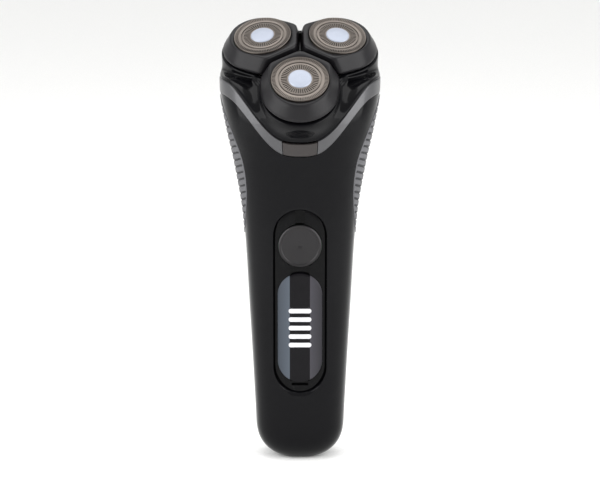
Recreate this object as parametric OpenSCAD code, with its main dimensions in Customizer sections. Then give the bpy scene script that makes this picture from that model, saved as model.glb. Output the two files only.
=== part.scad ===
// Cordless rotary shaver with three floating heads, a flip-open head and a rear pop-up trimmer.
// The shaver stands upright: +Z up, the front faces -Y, the origin is the middle of the base.

/* [Body] */
// Wall thickness of the moulded shells
wall = 2.0; // [1.6:0.1:2.2]
// Height over which the base rounds in
base_round = 15; // [12:1:18]
// Share of the section that is left as the flat foot
foot_share = 0.45; // [0.4:0.01:0.5]
// Depth of the pocket that each soft side grip lies in
grip_depth = 1.0; // [0.8:0.1:1.2]

/* [Head] */
// Forward tilt of the head's axis from vertical
head_tilt = 34; // [32:1:36]
// Depth position of the head's centre
head_y = -11; // [-12:0.5:-10]
// Height of the head's centre
head_z = 161.5; // [160:0.5:163]
// Distance from the head's centre to each foil's centre
pod_r = 16.5; // [16:0.1:17]
// Outward lean of each pod
pod_lean = 7.1; // [6:0.1:8]
// Foil diameter
foil_d = 22; // [21:0.5:23]

/* [Drive] */
// Tooth module of the drive gears
gear_module = 0.5; // [0.5]
// Teeth on the motor pinion
pinion_teeth = 16; // [16]
// Teeth on each drive gear
gear_teeth = 47; // [47]

/* [Front panel] */
// Width of the recessed front panel
panel_w = 20.6; // [20:0.1:21]
// Length of the recessed front panel
panel_l = 72.6; // [72:0.1:74]
// Diameter of the power button
button_d = 16.5; // [16:0.1:16.6]
// Width of the display window
window_w = 17.3; // [16:0.1:17.4]
// Length of the display window
window_l = 43.6; // [43:0.1:44]
// Number of charge level bars
bar_count = 5; // [3:1:5]

/* [Hidden] */
$fn = 64;

// ---------- Shape of the body ----------
// Rows of the body's outline: height, half width, depth to the front, depth to the back
BODY = [
    [0, 16.9, 14.2, 14.2],
    [18, 17.5, 14.5, 14.6],
    [60, 19.7, 15.7, 16.0],
    [97, 22.0, 17.3, 18.0],
    [118, 25.4, 22.0, 20.8],
    [130, 28.0, 25.8, 22.3],
    [144, 30.4, 26.0, 22.5],
    [158, 30.4, 23.0, 21.5],
    [168, 30.0, 20.0, 19.0]
];
front_power = 2.7;
back_power = 2.3;
base_power = 2.6;
grip_z = [91, 138];
grip_reach = 30;
grip_min = 1.5;
pocket_over = 5;
seam_gap = 0.1;

function row_of(z, i = 0) = i >= len(BODY) - 2 || z < BODY[i + 1][0] ? i : row_of(z, i + 1);
function row_slope(i, c) =
    let (a = max(i - 1, 0), b = min(i + 1, len(BODY) - 1))
    (BODY[b][c] - BODY[a][c]) / (BODY[b][0] - BODY[a][0]);
// Smooth cubic curve through one column of the outline
function outline(z, c) =
    let (i = row_of(z), h = BODY[i + 1][0] - BODY[i][0], s = (z - BODY[i][0]) / h)
    (2 * s ^ 3 - 3 * s ^ 2 + 1) * BODY[i][c] + (s ^ 3 - 2 * s ^ 2 + s) * h * row_slope(i, c)
    + (3 * s ^ 2 - 2 * s ^ 3) * BODY[i + 1][c] + (s ^ 3 - s ^ 2) * h * row_slope(i + 1, c);
// How far the rounded base draws the section in
function base_share(z) =
    z >= base_round ? 1 : sqrt(1 - (1 - z / base_round) ^ base_power * (1 - foot_share ^ 2));
function signed_power(v, p) = sign(v) * abs(v) ^ p;
function side_power(t) = sin(t) < 0 ? front_power : back_power;
// Point of the body's skin at angle t and height z, moved inwards by inset
function skin_point(t, z, inset) =
    let (share = base_share(z), p = 2 / side_power(t), c = sin(t) < 0 ? 2 : 3)
    [
        (outline(z, 1) * share - inset) * signed_power(cos(t), p),
        (outline(z, c) * share - inset) * signed_power(sin(t), p),
        z
    ];
// The wall is thicker low down, where the skin turns under
function wall_at(z) = wall + (z < base_round ? (1 - z / base_round) ^ 2 : 0);

// ---------- Parting curve between the body and the head ----------
part_side = 150.1;
part_drop = 22.1;
part_rise = 7.9;
part_power = 1.95;
collar_h = 5.6;
head_gap = 0.3;
hinge_relief = 2.4;

function part_bell(t) = max(0, 1 - abs(cos(t)) ^ (4 / side_power(t))) ^ part_power;
function part_z(t) = part_side + (sin(t) < 0 ? -part_drop : part_rise) * part_bell(t);
// The edges draw back from the hinge barrel in the middle of the back
function back_window(t) =
    let (v = (sin(t) - sin(52)) / (sin(68) - sin(52)), w = min(1, max(0, v)))
    w * w * (3 - 2 * w);
function collar_top(t) = part_z(t) - hinge_relief * back_window(t);
function collar_bottom(t) = part_z(t) - collar_h;

// ---------- Sweeps ----------
// Solid through a row of equal closed loops; each loop runs out along the outside and back
// along the inside, so an open row is capped with strips from one side to the other
module loop_solid(loops, closed) {
    n = len(loops[0]);
    m = len(loops);
    half = n / 2;
    sides = [
        for (i = [0 : closed ? m - 1 : m - 2])
            for (j = [0 : n - 1])
                let (a = i * n + j, b = i * n + (j + 1) % n, up = ((i + 1) % m) * n)
                each [[a, b, up + (j + 1) % n], [a, up + (j + 1) % n, up + j]]
    ];
    caps = closed ? [] : [
        for (j = [0 : half - 2])
            let (k = n - 1 - j, last = (m - 1) * n)
            each [
                [j, k, k - 1], [j, k - 1, j + 1],
                [last + j, last + k - 1, last + k], [last + j, last + j + 1, last + k - 1]
            ]
    ];
    polyhedron([for (l = loops) each l], concat(sides, caps), convexity = 8);
}

// ---------- Frames ----------
module head_frame() translate([0, head_y, head_z]) rotate([head_tilt, 0, 0]) children();
module at_angle(a, r) rotate([0, 0, a]) translate([r, 0, 0]) children();
module pod_frame_at(a) head_frame() at_angle(a, pod_r) rotate([0, pod_lean, 0]) children();
front_a = 270;
left_a = 150;
right_a = 30;
pod_angles = [front_a, left_a, right_a];
panel_lean = 2.0;
panel_y = -14.2;
panel_z = 60;
module panel_frame() translate([0, panel_y, panel_z]) rotate([90 + panel_lean, 0, 0]) children();
back_lean = 3.8;
module back_frame() translate([0, 17.6, 90]) rotate([-back_lean, 0, 0]) children();

module slot_shape(w, l) {
    square([w, l - w], center = true);
    for (s = [-1, 1]) translate([0, s * (l - w) / 2]) circle(d = w);
}

// ---------- Shells ----------
base_rows = 7;
body_rows = 26;
half_cols = 18;

function grip_window(z) =
    let (v = (z - grip_z[0]) / (grip_z[1] - grip_z[0]))
    v <= 0 || v >= 1 ? 0 : sin(180 * v);
function grip_angle(z) = grip_min + (grip_reach - grip_min) * grip_window(z) ^ 0.85;
function grip_pocket(z) = z > grip_z[0] - pocket_over && z < grip_z[1] + pocket_over ? grip_depth : 0;
// Columns of half a shell, from one seam to the other, counted from the seam
function seam_angle(k, z) =
    let (g = grip_angle(z), d = 0.35)
    k == 0 ? seam_gap
    : k == 1 ? g / 2
    : k == 2 ? g
    : k == half_cols ? 180 - seam_gap
    : k == half_cols - 1 ? 180 - g / 2
    : k == half_cols - 2 ? 180 - g
    : g + d + (180 - 2 * g - 2 * d) * column_share((k - 3) / (half_cols - 6));
// Columns stand closer together at both ends and in the middle, where the top edge turns
function column_share(u) = u - 0.5 * sin(720 * u) / (4 * PI);
function pocket_at(k, z) = k <= 2 || k >= half_cols - 2 ? grip_pocket(z) : 0;
// Angle at which a column meets the collar, found by repeating the guess
function top_angle(k, start, z = 130, tries = 8) =
    let (t = start + seam_angle(k, z))
    tries == 0 ? t : top_angle(k, start, collar_bottom(t), tries - 1);
function shell_z(i, t) =
    i < base_rows
    ? base_round * (i / base_rows) ^ 1.5
    : base_round + (collar_bottom(t) - base_round) * (i - base_rows) / body_rows;
module half_shell(start) {
    rows = base_rows + body_rows;
    loop_solid([
        for (k = [0 : half_cols])
            let (t0 = top_angle(k, start))
            concat(
                [for (i = [0 : rows])
                    let (z = shell_z(i, t0), t = start + seam_angle(k, z))
                    skin_point(t, z, pocket_at(k, z))],
                [for (i = [rows : -1 : 0])
                    let (z = shell_z(i, t0), t = start + seam_angle(k, z))
                    skin_point(t, z, wall_at(z))]
            )
    ], false);
}

module front_shell() color("#131316") difference() {
    half_shell(180);
    panel_frame() translate([0, 4.6, -6]) linear_extrude(12) slot_shape(panel_w, panel_l);
}

module rear_shell() color("#131316") difference() {
    half_shell(0);
    back_frame() translate([-12.5, -6, -21.6]) cube([25, 12, 40]);
    back_frame() translate([-2.2, -6, -33]) cube([4.4, 12, 8.4]);
}

collar_cols = 84;
button_half_angle = 8.6;
collar_in = 2.2;
collar_seam = 0.35;
// Cross-section of a band of the body's skin at one angle
function band_loop(t, lo, hi, rows, outer, inner) = concat(
    [for (i = [0 : rows]) skin_point(t, lo + (hi - lo) * i / rows, outer)],
    [for (i = [rows : -1 : 0]) skin_point(t, lo + (hi - lo) * i / rows, inner)]
);
module collar_ring() color("#4a4a4e") {
    start = 270 + button_half_angle;
    loop_solid([
        for (k = [0 : collar_cols])
            let (t = start + (360 - 2 * button_half_angle) * k / collar_cols)
            band_loop(t, collar_bottom(t) + collar_seam, collar_top(t), 3, -0.15, collar_in)
    ], false);
}

button_gap = 0.5;
module release_button() color("#57504c") {
    reach = button_half_angle - button_gap;
    loop_solid([
        for (k = [0 : 8])
            let (t = 270 - reach + 2 * reach * k / 8)
            band_loop(t, collar_bottom(t) + button_gap, collar_top(t) - 0.2, 3, -0.35, collar_in + 0.2)
    ], false);
}

module coil(r, wire_r, turns, h) {
    per_turn = 10;
    loops = [
        for (i = [0 : turns * per_turn])
            let (a = 360 * i / per_turn, z = wire_r + (h - 2 * wire_r) * i / (turns * per_turn))
            [for (j = [0 : 5])
                let (q = -60 * j) [(r + wire_r * cos(q)) * cos(a), (r + wire_r * cos(q)) * sin(a),
                z + wire_r * sin(q)]]
    ];
    loop_solid(loops, false);
}
button_z = 124.5;
module release_spring() color("silver")
    translate([0, -20.2, button_z]) rotate([-90, 0, 0]) coil(1.8, 0.2, 4, 3.4);

function grip_loops(side) = [
    for (k = [0 : 8])
        let (rows = 22)
        concat(
            [for (i = [0 : rows])
                let (z = grip_z[0] + (grip_z[1] - grip_z[0]) * i / rows,
                    g = (grip_angle(z) - 0.25) * (k / 4 - 1))
                skin_point(side + g, z, -0.25)],
            [for (i = [rows : -1 : 0])
                let (z = grip_z[0] + (grip_z[1] - grip_z[0]) * i / rows,
                    g = (grip_angle(z) - 0.25) * (k / 4 - 1))
                skin_point(side + g, z, grip_depth - 0.05)]
        )
];
module side_grip_left() color("#6e6e72") loop_solid(grip_loops(180), false);
module side_grip_right() color("#6e6e72") loop_solid(grip_loops(360), false);

// ---------- Front panel ----------
panel_t = 1.6;
button_py = 26.7;
window_py = -5.9;
lip = 0.2;
module front_panel() color("#0c0c0f") panel_frame() difference() {
    translate([0, 4.6, -panel_t]) linear_extrude(panel_t) slot_shape(panel_w - 0.1, panel_l - 0.1);
    translate([0, button_py, -4]) cylinder(d = button_d + 0.5, h = 8);
    translate([0, window_py, -4]) linear_extrude(8) slot_shape(window_w + lip, window_l + lip);
}

bar_w = 8.75;
bar_h = 1.8;
bar_pitch = 3.4;
module bars(grow, h) for (i = [0 : bar_count - 1])
    translate([0, window_py + (i - (bar_count - 1) / 2) * bar_pitch, 0])
        rotate([0, 0, 90]) linear_extrude(h) slot_shape(bar_h + grow, bar_w + grow);
module display_window() color("#1b1b20") panel_frame() difference() {
    translate([0, window_py, -panel_t - 0.6]) linear_extrude(panel_t + 0.8) slot_shape(window_w, window_l);
    translate([0, 0, -3]) bars(0.1, 6);
}
module light_guide() color("white") panel_frame() {
    translate([0, 0, -2.6]) bars(0, 2.85);
    translate([-4, window_py - 8.4, -3.2]) cube([8, 16.8, 0.7]);
}

module power_button() color("#3c3c40") panel_frame() translate([0, button_py, 0]) {
    rotate_extrude() polygon([
        [0, -2.0], [8.25, -2.0], [8.25, 0.5], [7.9, 0.8], [7.3, 0.75], [7.1, 0.55], [0, 0.35]
    ]);
    translate([0, 0, -2.6]) cylinder(r = 1.5, h = 1);
}
module button_seal() color("#202022") panel_frame() translate([0, button_py, -3.2]) difference() {
    cylinder(r = 11, h = 0.5);
    translate([0, 0, -1]) cylinder(r = 9.4, h = 3);
}

board_z = -4.6;
module circuit_board() color("#1f5a35") panel_frame() {
    translate([-8.5, -30, board_z]) cube([17, 66, 1.2]);
    for (i = [0 : bar_count - 1])
        translate([-1, window_py + (i - (bar_count - 1) / 2) * bar_pitch - 0.5, board_z + 1.1])
            cube([2, 1, 0.25]);
}
module tact_switch() color("#c8c8cc") panel_frame() translate([0, button_py, board_z + 1.2]) {
    translate([-2.2, -2.2, 0]) cube([4.4, 4.4, 0.15]);
    cylinder(r = 1.2, h = 0.2);
}

// ---------- Power and chassis ----------
battery_r = 7;
battery_y = 1;
module battery_cell() color("#2a6f9e") translate([0, battery_y, 31]) {
    cylinder(r = battery_r, h = 49);
    translate([0, 0, 48.9]) cylinder(r = 2.6, h = 1.2);
}
module battery_tabs() color("silver") {
    translate([-2.5, battery_y - 8, 30.6]) cube([5, 12, 0.4]);
    translate([-2.5, battery_y - 8, 81.1]) cube([5, 12, 0.4]);
}
module inner_chassis() color("#8a8a90") difference() {
    union() {
        translate([-13, -8.2, 20]) cube([26, 1.3, 89]);
        for (z = [38, 68]) translate([-9, -7, z]) cube([18, 10, 3]);
    }
    translate([0, battery_y, 20]) cylinder(r = battery_r + 0.1, h = 62);
    for (z = [30.4, 80.9]) translate([-3, -9, z]) cube([6, 4, 1]);
}

// ---------- Drive ----------
spindle_r = (pinion_teeth + gear_teeth) * gear_module / 2;
gear_low = -19.6;
gear_h = 2.4;
deck_low = -16.2;
deck_h = 1.2;
plate_low = -21.7;
plate_h = 1.4;
shaft_r = 1.6;
post_r = 12;
motor_r = 10.2;
motor_flat = 15.4;
motor_l = 19;

// Outline of a spur gear with straight-sided teeth; a gap lies on its +X axis
module gear_outline(teeth) {
    pitch_r = teeth * gear_module / 2;
    root = pitch_r - 0.62;
    tip = pitch_r + 0.18;
    step = 360 / teeth;
    polygon([
        for (i = [0 : teeth - 1])
            let (a = (i + 0.5) * step)
            for (q = [[root, -0.3], [tip, -0.11], [tip, 0.11], [root, 0.3]])
                [q[0] * cos(a + q[1] * step), q[0] * sin(a + q[1] * step)]
    ]);
}
module motor_pinion() color("#d9d2c0") head_frame() {
    translate([0, 0, gear_low - 0.2]) rotate([0, 0, 30 + 180 / pinion_teeth])
        linear_extrude(gear_h + 0.4) gear_outline(pinion_teeth);
    translate([0, 0, -24]) cylinder(r = 1, h = 7);
}
module drive_gear(a) color("#e6e2d6") head_frame() at_angle(a, spindle_r) difference() {
    union() {
        translate([0, 0, gear_low]) rotate([0, 0, 180 + (a - right_a) * pinion_teeth / gear_teeth])
            linear_extrude(gear_h) gear_outline(gear_teeth);
        translate([0, 0, gear_low]) cylinder(r = 3, h = gear_h + 0.6);
    }
    translate([0, 0, gear_low - 1]) cylinder(r = shaft_r, h = 8);
    for (q = [0 : 5]) rotate([0, 0, 60 * q]) translate([6.6, 0, gear_low - 1]) cylinder(r = 1.9, h = 5);
}
module spindle(a) color("#f0efe8") head_frame() at_angle(a, spindle_r) {
    translate([0, 0, gear_low]) cylinder(r = shaft_r, h = -6.6 - gear_low);
    translate([0, 0, plate_low + 0.2]) cylinder(r = 1.2, h = gear_low - plate_low);
    translate([0, 0, -9]) cylinder(r = 2.7, h = 0.8);
    translate([0, 0, -6.7]) linear_extrude(1.25) slot_shape(1.4, 3.0);
}
module spindle_spring(a) color("silver") head_frame() at_angle(a, spindle_r)
    translate([0, 0, -14.7]) coil(2.15, 0.2, 4, 5.6);
module drive_gear_front() drive_gear(front_a);
module drive_gear_left() drive_gear(left_a);
module drive_gear_right() drive_gear(right_a);
module spindle_front() spindle(front_a);
module spindle_left() spindle(left_a);
module spindle_right() spindle(right_a);
module spindle_spring_front() spindle_spring(front_a);
module spindle_spring_left() spindle_spring(left_a);
module spindle_spring_right() spindle_spring(right_a);

deck_lobe = 12.1;
plate_lobe = 11.2;
module drive_outline(lobe) {
    circle(r = 14);
    for (a = pod_angles) at_angle(a, spindle_r) circle(r = lobe);
}
module drive_deck() color("#2b2b2f") head_frame() difference() {
    translate([0, 0, deck_low]) linear_extrude(deck_h) drive_outline(deck_lobe);
    for (a = pod_angles) at_angle(a, spindle_r) translate([0, 0, -18]) cylinder(r = shaft_r + 0.06, h = 6);
    for (a = pod_angles) at_angle(a + 60, post_r) translate([0, 0, -18]) cylinder(r = 0.7, h = 6);
}
module deck_seals() color("#1c1c1e") head_frame() for (a = pod_angles) at_angle(a, spindle_r)
    translate([0, 0, -15]) difference() {
        cylinder(r = 4, h = 0.8);
        translate([0, 0, -1]) cylinder(r = 2.8, h = 3);
    }
module deck_screws() color("#b8b8bc") head_frame() for (a = pod_angles) at_angle(a + 60, post_r) {
    translate([0, 0, -15]) cylinder(r = 1.4, h = 0.7);
    translate([0, 0, -19]) cylinder(r = 0.6, h = 4.1);
}

hinge_u = 22.9;
hinge_m = -19.9;
pin_r = 0.8;
module along_hinge(w) translate([-w / 2, hinge_u, hinge_m]) rotate([0, 90, 0]) children();
module motor_plate() color("#55555a") head_frame() difference() {
    union() {
        translate([0, 0, plate_low]) linear_extrude(plate_h) drive_outline(plate_lobe);
        for (a = pod_angles) at_angle(a + 60, post_r)
            translate([0, 0, plate_low]) cylinder(r = 1.5, h = deck_low - plate_low);
        for (s = [-1, 1]) {
            translate([s * 8.3 - 1.2, 10, plate_low]) cube([2.4, hinge_u - 10, plate_h]);
            translate([s * 8.3, 0, 0]) along_hinge(2.4) cylinder(r = 1.8, h = 2.4);
        }
    }
    translate([0, 0, -23]) cylinder(r = 3.05, h = 5);
    for (a = pod_angles) at_angle(a, spindle_r) translate([0, 0, -23]) cylinder(r = 1.25, h = 5);
    for (a = pod_angles) at_angle(a + 60, post_r) translate([0, 0, -19.2]) cylinder(r = 0.6, h = 5);
    along_hinge(24) cylinder(r = pin_r, h = 24);
}
module head_hinge_pin() color("silver") head_frame() along_hinge(19) cylinder(r = pin_r, h = 19);
module motor() color("#9a9aa0") head_frame() difference() {
    union() {
        intersection() {
            translate([0, 0, plate_low - motor_l]) cylinder(r = motor_r, h = motor_l);
            translate([-15, -motor_flat / 2, plate_low - motor_l]) cube([30, motor_flat, motor_l]);
        }
        translate([0, 0, plate_low - 0.1]) cylinder(r = 3, h = 1.2);
        translate([0, 0, plate_low - motor_l - 1]) cylinder(r = 3, h = 1.1);
    }
    translate([0, 0, -24.5]) cylinder(r = 1.06, h = 8);
}

// ---------- Head ----------
housing_cols = 72;
housing_rows = 8;
rim_m = -9.6;
rim_r = 27.0;
rim_lobe = 3.2;
head_wall = 1.8;
function to_body(p) = [
    p[0],
    head_y + p[1] * cos(head_tilt) - p[2] * sin(head_tilt),
    head_z + p[1] * sin(head_tilt) + p[2] * cos(head_tilt)
];
function rim_at(t, inset) = rim_r - inset + rim_lobe * cos(3 * (t - 30));
function rim_point(t, m, inset) = to_body([rim_at(t, inset) * cos(t), rim_at(t, inset) * sin(t), m]);
function housing_low(t) = part_z(t) + head_gap + (hinge_relief + 1) * back_window(t);
// The wall thins behind the drive, which it swings past as the head opens
function housing_wall(t) = head_wall - 1.2 * min(1, max(0, 3 * sin(t) - 0.3));
function curve4(p, s) =
    (1 - s) ^ 3 * p[0] + 3 * s * (1 - s) ^ 2 * p[1] + 3 * s ^ 2 * (1 - s) * p[2] + s ^ 3 * p[3];
function housing_point(t, s, inset) =
    let (z = housing_low(t), a = skin_point(t, z, inset))
    curve4([a, a + (skin_point(t, z + 3, inset) - a), rim_point(t, rim_m - 4, inset - 0.4),
        rim_point(t, rim_m, inset)], s);
module head_housing() color("#131316") loop_solid([
    for (k = [0 : housing_cols - 1])
        let (t = 360 * k / housing_cols)
        concat(
            [for (i = [0 : housing_rows]) housing_point(t, i / housing_rows, 0)],
            [for (i = [housing_rows : -1 : 0]) housing_point(t, i / housing_rows, housing_wall(t))]
        )
], true);

frame_low = -11;
frame_h = 1.2;
ear_z = -8;
ear_y = 12.2;
ear_t = 1.5;
stub_r = 0.7;
module pod_frame() color("#27272b") difference() {
    union() {
        head_frame() {
            translate([0, 0, frame_low]) linear_extrude(frame_h)
                polygon([for (k = [0 : 71]) let (t = 5 * k) rim_at(t, 2.9) * [cos(t), sin(t)]]);
            translate([-6, 0, 0]) rotate([90, 0, 90]) linear_extrude(12) polygon([
                [18, frame_low + frame_h], [20.4, frame_low + frame_h], [21.9, -15],
                [23.6, -18.6], [21.8, -19.2], [19.8, -15], [18, frame_low]
            ]);
            along_hinge(12) cylinder(r = 1.8, h = 12);
        }
        for (a = pod_angles) pod_frame_at(a) for (s = [-1, 1]) {
            translate([-1.5, s * (ear_y - 1.1) - 0.7, -10.6]) cube([3, 1.4, 4]);
            translate([0, s * (ear_y - 1), ear_z]) rotate([90, 0, 0])
                cylinder(r = stub_r, h = 2 * ear_t + 1.4, center = true);
        }
    }
    head_frame() {
        for (a = pod_angles) at_angle(a, pod_r - 0.5) translate([0, 0, -13]) cylinder(r = 9, h = 6);
        translate([0, 0, -13]) cylinder(r = 2.1, h = 6);
        along_hinge(30) cylinder(r = pin_r + 0.05, h = 30);
    }
}
module pod_springs() color("silver") for (a = pod_angles) head_frame() at_angle(a, pod_r + 9.2)
    translate([0, 0, frame_low + frame_h]) coil(0.9, 0.15, 3, 1.1);

module retaining_frame() color("#3f6f8f") head_frame() difference() {
    translate([0, 0, -13.2]) linear_extrude(1.2) union() {
        circle(r = 7);
        for (a = pod_angles) at_angle(a, pod_r - 0.5) circle(r = 10);
    }
    for (a = pod_angles) at_angle(a, pod_r - 0.5) translate([0, 0, -15]) cylinder(r = 8.6, h = 6);
    translate([0, 0, -15]) cylinder(r = 2.1, h = 6);
}
module frame_lock_knob() color("#d0d0d4") head_frame() {
    translate([0, 0, -14.2]) cylinder(r = 4, h = 0.9);
    translate([-3.4, -0.6, -14.7]) cube([6.8, 1.2, 0.6]);
    translate([0, 0, -14]) cylinder(r = 2.04, h = 4.4);
}

pod_low = -6.4;
pod_top = -0.5;
petal_w = 14.9;
hub_gap = 0.85;
module petal(inset, hub) intersection() {
    union() {
        circle(r = petal_w - inset);
        translate([-pod_r, 0]) polygon([
            [hub / cos(30), 0], [8.6 + hub, petal_w - inset], [pod_r, petal_w - inset],
            [pod_r, inset - petal_w], [8.6 + hub, inset - petal_w]
        ]);
    }
    translate([-pod_r, 0]) polygon([
        [hub / sin(60), 0], [hub / sin(60) + 40 * cos(60), 40 * sin(60)], [60, 0],
        [hub / sin(60) + 40 * cos(60), -40 * sin(60)]
    ]);
}
module pod(a) color("#3a393d") pod_frame_at(a) difference() {
    union() {
        hull() {
            translate([0, 0, pod_low]) linear_extrude(0.4, $fn = 48) petal(0, hub_gap);
            translate([0, 0, pod_top - 0.1]) linear_extrude(0.1, $fn = 48) petal(3.3, hub_gap + 0.5);
        }
        for (s = [-1, 1]) hull() {
            translate([-2, s * (ear_y + 0.65) - 0.65, pod_low]) cube([4, 1.3, 0.2]);
            translate([0, s * (ear_y + 0.65), ear_z]) rotate([90, 0, 0])
                cylinder(r = 1.3, h = 1.3, center = true, $fn = 32);
        }
    }
    translate([0, 0, -3.2]) cylinder(d = foil_d + 0.1, h = 6);
    translate([0, 0, -9]) cylinder(r = 10.3, h = 9);
    for (s = [-1, 1]) translate([0, s * (ear_y + 0.65), ear_z]) rotate([90, 0, 0])
        cylinder(r = stub_r + 0.06, h = 3, center = true);
}
module pod_front() pod(front_a);
module pod_left() pod(left_a);
module pod_right() pod(right_a);

// Round foil with two shaving tracks, a groove between them and a raised rim
foil_r = foil_d / 2;
cap_r = 4.4;
module foil(a) color("#b9b4ad") pod_frame_at(a) rotate_extrude() polygon([
    [cap_r, -0.6], [cap_r, 0], [7.6, 0], [7.8, -0.3], [8.3, -0.3], [8.5, 0], [10.3, 0],
    [10.45, 0.2], [10.85, 0.2], [foil_r, 0.05], [foil_r, -3.2], [foil_r - 0.6, -3.2],
    [foil_r - 0.6, -0.6]
]);
module foil_front() foil(front_a);
module foil_left() foil(left_a);
module foil_right() foil(right_a);
module foil_cap(a) color("#c9ced6") pod_frame_at(a) rotate_extrude() polygon([
    [0, -0.6], [cap_r, -0.6], [cap_r, 0.1], [cap_r - 0.3, 0.35], [2, 0.5], [0, 0.52]
]);
module foil_cap_front() foil_cap(front_a);
module foil_cap_left() foil_cap(left_a);
module foil_cap_right() foil_cap(right_a);

blade_count = 9;
module cutter(a) color("#d8d8dc") pod_frame_at(a) difference() {
    union() {
        translate([0, 0, -3.4]) difference() {
            cylinder(r = 9.6, h = 1.2);
            for (q = [0 : blade_count - 1]) rotate([0, 0, 40 * q + 20])
                translate([6.6, 0, -1]) cylinder(r = 1.3, h = 4);
        }
        for (q = [0 : blade_count - 1]) rotate([0, 0, 40 * q])
            translate([3.4, -0.35, -2.3]) cube([6.2, 0.7, 1.55]);
        translate([0, 0, -5.95]) cylinder(r = 3.4, h = 2.8);
    }
    translate([0, 0, -7]) linear_extrude(2.4) slot_shape(3.2, 4.8);
}
module cutter_front() cutter(front_a);
module cutter_left() cutter(left_a);
module cutter_right() cutter(right_a);

// ---------- Pop-up trimmer ----------
trim_pin = [-3, 15];
bay_half = 12.8;
module trimmer_housing() color("#131316") back_frame() difference() {
    intersection() {
        union() {
            translate([-11.2, -4.6, -20.6]) cube([22.4, 4.7, 35.6]);
            translate([-11.2, trim_pin[0], trim_pin[1]]) rotate([0, 90, 0]) cylinder(r = 2.9, h = 22.4);
        }
        translate([0, -32.5, -30]) cylinder(r = 32.5, h = 60, $fn = 128);
    }
    translate([-9.7, -8, -18.6]) cube([19.4, 6.2, 29]);
    translate([-20, trim_pin[0], trim_pin[1]]) rotate([0, 90, 0]) cylinder(r = 0.95, h = 40);
}
module comb_teeth(y, t, count, w, low, reach) for (i = [0 : count - 1])
    translate([reach * (2 * i / (count - 1) - 1) - w / 2, y, low]) cube([w, t, 3]);
module trimmer_comb() color("silver") back_frame() {
    translate([-9.5, -2.8, -18.5]) cube([19, 0.5, 9]);
    comb_teeth(-5.1, 0.5, 21, 0.5, -21.2, 9.2);
    translate([-9.5, -5.1, -18.5]) cube([19, 0.5, 6]);
    translate([-9.5, -5.1, -13]) cube([19, 2.6, 0.6]);
}
module trimmer_blade() color("#dcdce0") back_frame() {
    comb_teeth(-5.7, 0.5, 15, 0.6, -20.6, 8.6);
    translate([-9, -5.7, -18]) cube([18, 0.5, 5]);
}
module trimmer_pin() color("silver") back_frame()
    translate([-12.3, trim_pin[0], trim_pin[1]]) rotate([0, 90, 0]) cylinder(r = 0.9, h = 24.6);
module trimmer_bay() color("#27272b") back_frame() difference() {
    union() {
        difference() {
            translate([-14, -7.2, -24]) cube([28, 5.8, 44]);
            translate([-bay_half, -6.3, -22.6]) cube([2 * bay_half, 12, 41.2]);
            translate([0, -32.5, -30]) difference() {
                translate([-30, 20, 0]) cube([60, 30, 60]);
                cylinder(r = 29.6, h = 60);
            }
        }
        for (s = [-1, 1]) translate([s * 11.95 - 0.4, -7, 12.8]) cube([0.8, 5.2, 4.4]);
    }
    translate([-20, trim_pin[0], trim_pin[1]]) rotate([0, 90, 0]) cylinder(r = 0.9, h = 40);
}
module trimmer_latch() color("#4a4a4e") back_frame() {
    translate([-4.5, 0.65, -31.6]) cube([9, 0.9, 6.4]);
    for (z = [-30.4 : 1.4 : -26]) translate([-4, 1.5, z]) cube([8, 0.4, 0.6]);
    translate([-1.9, -3.4, -29.4]) cube([3.8, 4.2, 4.2]);
    translate([-3.4, -3.4, -29.4]) cube([6.8, 0.8, 4.2]);
}

// ---------- Base ----------
inlet_w = 8.4;
inlet_d = 5.4;
module inlet_shape(grow) rotate([0, 0, 90]) slot_shape(inlet_d + grow, inlet_w + grow);
module charging_inlet() color("#1d1d20") difference() {
    union() {
        translate([0, 0, 0.3]) linear_extrude(9.7) inlet_shape(0);
        translate([0, 0, 3.4]) linear_extrude(1.2) inlet_shape(2);
    }
    translate([0, 0, -1]) linear_extrude(8.4) inlet_shape(-1.8);
    for (s = [-1, 1]) translate([s * 1.6, 0, 0]) cylinder(r = 0.5, h = 12);
}
module charging_pins() color("#d8b65a") for (s = [-1, 1])
    translate([s * 1.6, 0, 2]) cylinder(r = 0.5, h = 10);
module inlet_gasket() color("#2b2b2e") translate([0, 0, 4.6]) linear_extrude(0.9) difference() {
    inlet_shape(1.8);
    inlet_shape(0.02);
}
module base_screws() color("#b8b8bc") for (s = [-1, 1]) translate([s * 11.6, 0, 24]) {
    translate([0, -1.2, 0]) rotate([90, 0, 0]) cylinder(r = 0.9, h = 11.4, center = true);
    translate([0, 5.2, 0]) rotate([90, 0, 0]) cylinder(r = 1.8, h = 1.4, center = true);
}

front_shell();
rear_shell();
collar_ring();
side_grip_left();
side_grip_right();
release_button();
release_spring();
front_panel();
display_window();
light_guide();
power_button();
button_seal();
circuit_board();
tact_switch();
battery_cell();
battery_tabs();
inner_chassis();
motor();
motor_plate();
motor_pinion();
drive_gear_front();
drive_gear_left();
drive_gear_right();
spindle_front();
spindle_left();
spindle_right();
spindle_spring_front();
spindle_spring_left();
spindle_spring_right();
drive_deck();
deck_seals();
deck_screws();
head_hinge_pin();
head_housing();
pod_frame();
retaining_frame();
frame_lock_knob();
pod_springs();
pod_front();
pod_left();
pod_right();
foil_front();
foil_left();
foil_right();
foil_cap_front();
foil_cap_left();
foil_cap_right();
cutter_front();
cutter_left();
cutter_right();
trimmer_housing();
trimmer_comb();
trimmer_blade();
trimmer_latch();
trimmer_pin();
trimmer_bay();
charging_inlet();
charging_pins();
inlet_gasket();
base_screws();
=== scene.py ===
# %% [markdown]
# # Cordless rotary shaver
# The working parts (gears, springs, pins, boards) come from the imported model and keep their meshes.
# The parts that a hand touches are rebuilt here as fine, smooth surfaces from the same outline:
# the two handle shells, the collar, the head's surround, the grips, the pods and the slotted foils.

# %% Load the frame
import math

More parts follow.
